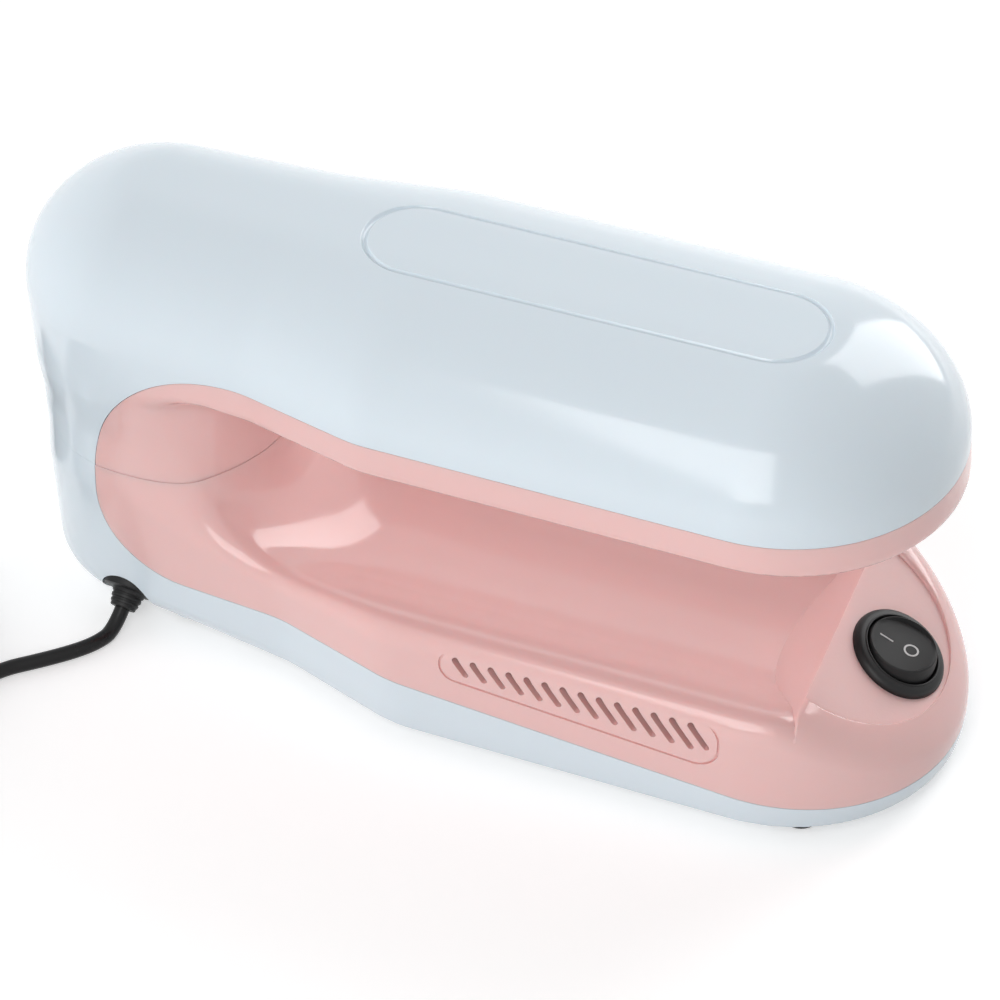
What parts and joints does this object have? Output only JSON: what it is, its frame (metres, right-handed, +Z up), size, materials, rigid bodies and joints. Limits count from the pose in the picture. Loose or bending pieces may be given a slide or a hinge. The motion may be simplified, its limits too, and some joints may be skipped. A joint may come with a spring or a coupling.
{
  "type": "mini nail lamp",
  "caption": "Small C-shaped nail lamp: domed hood with a lamp in its underside over a troughed base, round rocker switch, mains lead with plug.",
  "frame": {"origin": "on the floor the feet stand on, under the middle of the lamp without its cord", "axes": "+X from the rear column to the switch end, +Y across, +Z up"},
  "size_m": [0.275, 0.1298, 0.1046],
  "materials": {
    "white_abs": "gloss",
    "pink_abs": "gloss",
    "reflector": "polished",
    "uv_glass": "clear with a white coating inside",
    "cap_white": "satin",
    "pin_brass": "satin",
    "holder_white": "satin",
    "switch_black": "satin",
    "rocker_black": "satin",
    "terminal_metal": "satin",
    "screw_steel": "zinc plated",
    "foot_rubber": "matt",
    "board": "matt",
    "choke_core": "matt",
    "capacitor_case": "gloss",
    "transistor_case": "matt",
    "cord_black": "satin",
    "lead_white": "satin",
    "tie_black": "satin",
    "plug_black": "satin",
    "pin_nickel": "polished"
  },
  "bodies": {
    "lamp": {"top_cover": "white_abs", "hood_liner": "pink_abs", "base_cover": "pink_abs", "base_shell": "white_abs", "reflector_pan": "reflector", "uv_tube": "uv_glass", "tube_cap": "cap_white", "tube_pins": "pin_brass", "lamp_holder": "holder_white", "switch_housing": "switch_black", "switch_terminals": "terminal_metal", "front_screws": "screw_steel", "rear_screws": "screw_steel", "hood_screws": "screw_steel", "holder_screws": "screw_steel", "board_screws": "screw_steel", "rubber_feet": "foot_rubber", "driver_board": "board", "choke": "choke_core", "capacitors": "capacitor_case", "transistors": "transistor_case", "cord_bushing": "cord_black", "mains_lead": "cord_black", "lamp_leads": "lead_white", "switch_leads": "lead_white", "mains_cord": "cord_black", "cord_coil": "cord_black", "cord_tie": "tie_black", "plug_lead": "cord_black", "plug_body": "plug_black", "plug_pins": "pin_nickel"},
    "rocker": {"switch_rocker": "rocker_black"}
  },
  "joints": [
    {"name": "switch_tilt", "type": "hinge", "parent": "lamp", "child": "rocker", "pos_m": [0.08999, 0, 0.02464], "axis": [0, 1, 0], "range_deg": [0, 22]}
  ]
}
